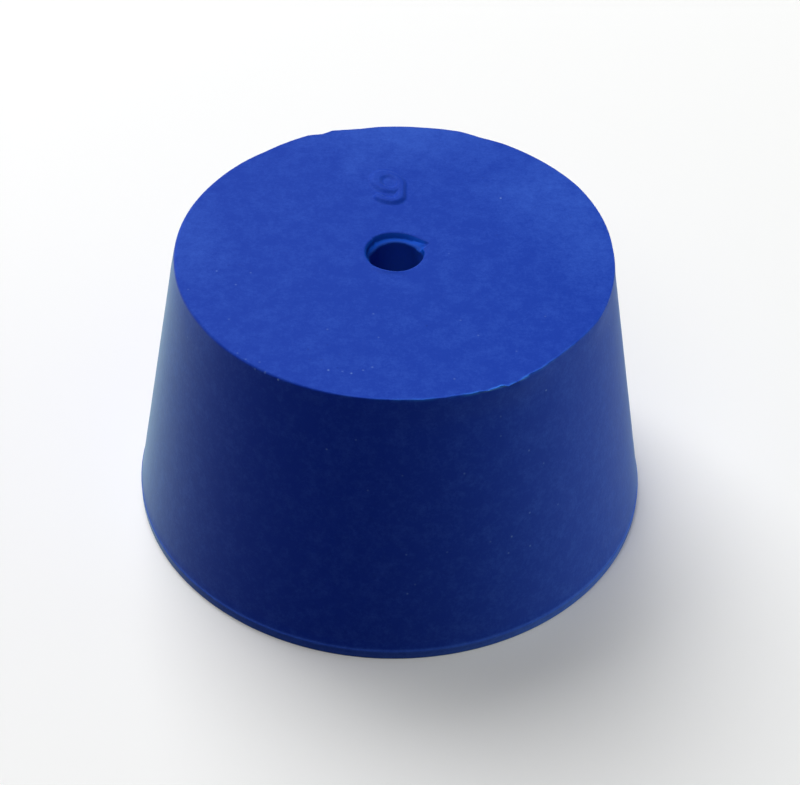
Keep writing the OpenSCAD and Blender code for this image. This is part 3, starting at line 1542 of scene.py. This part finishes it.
    def material(self, rubber: Rubber) -> bpy.types.Material:
        """Builds one rubber material.

        Args:
            rubber: what the surface looks like.

        Returns:
            The material.
        """
        material, wiring = Wiring.material(rubber.name)
        place = wiring.node("ShaderNodeTexCoord").outputs["Object"]
        feeds = {"Vector": place, "Scale": self.grain_scale}
        grain = wiring.node("ShaderNodeGroup", feeds, node_tree=self.grain).outputs[0]
        feeds = {"Strength": rubber.grain, "Distance": self.grain_depth * MM, "Height": grain}
        bump = wiring.node("ShaderNodeBump", feeds)
        feeds = {
            "Base Color": self.colour(wiring, place, rubber),
            "Roughness": rubber.roughness,
            "Specular IOR Level": self.gloss,
            "Sheen Weight": rubber.sheen,
            "Sheen Roughness": self.sheen_roughness,
            "Sheen Tint": (*self.sheen_tint, 1.0),
            "Normal": bump.outputs[0],
        }
        shader = wiring.node("ShaderNodeBsdfPrincipled", feeds)
        wiring.node("ShaderNodeOutputMaterial", {"Surface": shader.outputs[0]})
        return material

    def build(self) -> dict[str, bpy.types.Material]:
        """Builds the stopper's four materials.

        Returns:
            The materials, by the names of the skin tree's inputs.
        """
        return {
            "Side Finish": self.material(SIDE_RUBBER),
            "Face Finish": self.material(FACE_RUBBER),
            "Mouth Finish": self.material(MOUTH_RUBBER),
            "Hole Finish": self.material(HOLE_RUBBER),
        }


# ---------------------------------------------------------------------------------------------
# Studio
# ---------------------------------------------------------------------------------------------


@dataclass(frozen=True)
class Lamp:
    """A soft lamp or a low light card that faces the stopper; lengths here are metres, power is watts."""

    name: str
    azimuth: float
    power: float
    elevation: float = 0.0
    distance: float = 0.25
    width: float = 0.2
    height: float = 0.02
    colour: Colour = (1.0, 1.0, 1.0)

    def build(self, aim: Vector) -> bpy.types.Object:
        """Makes the lamp, out of the camera's sight.

        Args:
            aim: the point that it faces, in metres.

        Returns:
            The lamp.
        """
        data = bpy.data.lights.new(self.name, "AREA")
        data.shape = "RECTANGLE"
        data.size = self.width
        data.size_y = self.height
        data.energy = self.power
        data.color = self.colour
        lamp = add_object(self.name, data)
        turn = Matrix.Rotation(math.radians(self.azimuth), 3, "Z")
        away = turn @ Matrix.Rotation(-math.radians(self.elevation), 3, "Y") @ Vector((1.0, 0.0, 0.0))
        lamp.location = aim + away * self.distance
        lamp.rotation_euler = away.to_track_quat("Z", "Y").to_euler()
        lamp.visible_camera = False
        return lamp


@dataclass(frozen=True)
class Viewpoint:
    """Where the camera stands: it looks along +Y and down at the stopper."""

    aim: Triple = (0.718, 0.0, 9.738)
    distance: float = 183.15
    elevation: float = 41.876
    roll: float = 1.665
    lens: float = 93.45
    sensor: float = 36.0
    clip: Pair = (10.0, 100000.0)

    def build(self) -> bpy.types.Object:
        """Makes the camera and sets it as the scene's.

        Returns:
            The camera.
        """
        data = bpy.data.cameras.new("camera")
        data.lens = self.lens
        data.sensor_width = self.sensor
        data.clip_start, data.clip_end = (value * MM for value in self.clip)
        camera = add_object("camera", data)
        tilt = Matrix.Rotation(math.radians(90.0 - self.elevation), 4, "X")
        turned = tilt @ Matrix.Rotation(math.radians(self.roll), 4, "Z")
        back = turned.to_3x3() @ Vector((0.0, 0.0, 1.0))
        camera.matrix_world = Matrix.Translation((Vector(self.aim) + back * self.distance) * MM) @ turned
        bpy.context.scene.camera = camera
        return camera


@dataclass
class Studio:
    """The pale floor, the white backdrop, the lamps and the camera; lengths here are metres."""

    floor_size: float = 6.0
    floor_shade: float = 0.8
    floor_glow: float = 0.12
    floor_bounce: float = 0.1
    floor_fade: Pair = (0.14, 0.4)
    lamps: tuple[Lamp, ...] = (
        Lamp("key", azimuth=118.0, elevation=52.0, distance=0.8, width=0.6, height=0.6, power=7.5),
        Lamp("fill", azimuth=250.0, elevation=60.0, distance=0.8, width=0.5, height=0.5, power=1.65),
        Lamp("right_card", azimuth=5.0, power=0.44, colour=(0.88, 1.0, 0.8)),
        Lamp("left_card", azimuth=150.0, power=0.13),
    )

    @staticmethod
    def seen(wiring: Wiring) -> Socket:
        """Whether a ray shows the background: from the camera, off a gloss or through glass.

        Args:
            wiring: the tree being built.

        Returns:
            One for such a ray, and otherwise zero.
        """
        path = wiring.node("ShaderNodeLightPath").outputs
        shown = wiring.math("MAXIMUM", path["Is Camera Ray"], path["Is Glossy Ray"])
        return wiring.math("MAXIMUM", shown, path["Is Transmission Ray"])

    def floor(self) -> bpy.types.Object:
        """Makes a pale floor that keeps the stopper's shadow and fades to white away from it.

        Returns:
            The floor.
        """
        half = self.floor_size / 2
        mesh = bpy.data.meshes.new("floor")
        corners = [(-half, -half, 0.0), (half, -half, 0.0), (half, half, 0.0), (-half, half, 0.0)]
        mesh.from_pydata(corners, [], [(0, 1, 2, 3)])
        mesh.materials.append(self.floor_finish())
        floor = add_object("floor", mesh)
        return floor

    def floor_finish(self) -> bpy.types.Material:
        """Makes the floor's material: pale near the stopper, white far off, and dimmer in what it bounces.

        Returns:
            The material.
        """
        material, wiring = Wiring.material("floor")
        shade, bounce = (self.floor_shade,) * 3, (self.floor_bounce,) * 3
        pale = wiring.node("ShaderNodeBsdfDiffuse", {"Color": (*shade, 1.0)})
        glow = wiring.node("ShaderNodeEmission", {"Strength": self.floor_glow})
        near = wiring.node("ShaderNodeAddShader", {0: pale.outputs[0], 1: glow.outputs[0]})
        far = wiring.node("ShaderNodeEmission", {"Strength": 1.0})
        place = wiring.node("ShaderNodeTexCoord").outputs["Object"]
        away = wiring.vector_math("LENGTH", place, output="Value")
        feeds = {0: wiring.ramp(away, *self.floor_fade), 1: near.outputs[0], 2: far.outputs[0]}
        shown = wiring.node("ShaderNodeMixShader", feeds)
        lit = wiring.node("ShaderNodeBsdfDiffuse", {"Color": (*bounce, 1.0)})
        feeds = {0: self.seen(wiring), 1: lit.outputs[0], 2: shown.outputs[0]}
        mixed = wiring.node("ShaderNodeMixShader", feeds)
        wiring.node("ShaderNodeOutputMaterial", {"Surface": mixed.outputs[0]})
        return material

    def backdrop(self) -> bpy.types.World:
        """Makes the world, which is white where it is seen and gives no light.

        Returns:
            The world.
        """
        world = bpy.data.worlds.new("backdrop")
        world.use_nodes = True
        world.node_tree.nodes.clear()
        wiring = Wiring(world.node_tree)
        feeds = {"Color": (1.0, 1.0, 1.0, 1.0), "Strength": self.seen(wiring)}
        light = wiring.node("ShaderNodeBackground", feeds)
        wiring.node("ShaderNodeOutputWorld", {"Surface": light.outputs[0]})
        bpy.context.scene.world = world
        return world

    def build(self, aim: Vector) -> Iterator[str]:
        """Builds the studio.

        Args:
            aim: the point that the lamps face, in metres.

        Yields:
            The name of each thing made.
        """
        yield self.floor().name
        yield self.backdrop().name
        for lamp in self.lamps:
            yield lamp.build(aim).name
        yield Viewpoint().build().name


# ---------------------------------------------------------------------------------------------
# Scene
# ---------------------------------------------------------------------------------------------


def main() -> None:
    """Builds the stopper's skin, its studio and its camera."""
    logging.basicConfig(level=logging.INFO, format="%(name)s: %(message)s")
    bpy.context.scene.view_settings.view_transform = "Standard"
    low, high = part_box(NODE)
    section = HalfSection(large_r=(high.x - low.x) / 2 / MM, height=(high.z - low.z) / MM)
    skin = Skin(section).build(Finishes().build())
    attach(skin, BODY)
    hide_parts(NODE)
    log.info("%s: %d faces", skin.name, len(skin.data.polygons))
    for name in Studio().build((low + high) / 2):
        log.info("studio: %s", name)


if __name__ == "__main__":
    main()
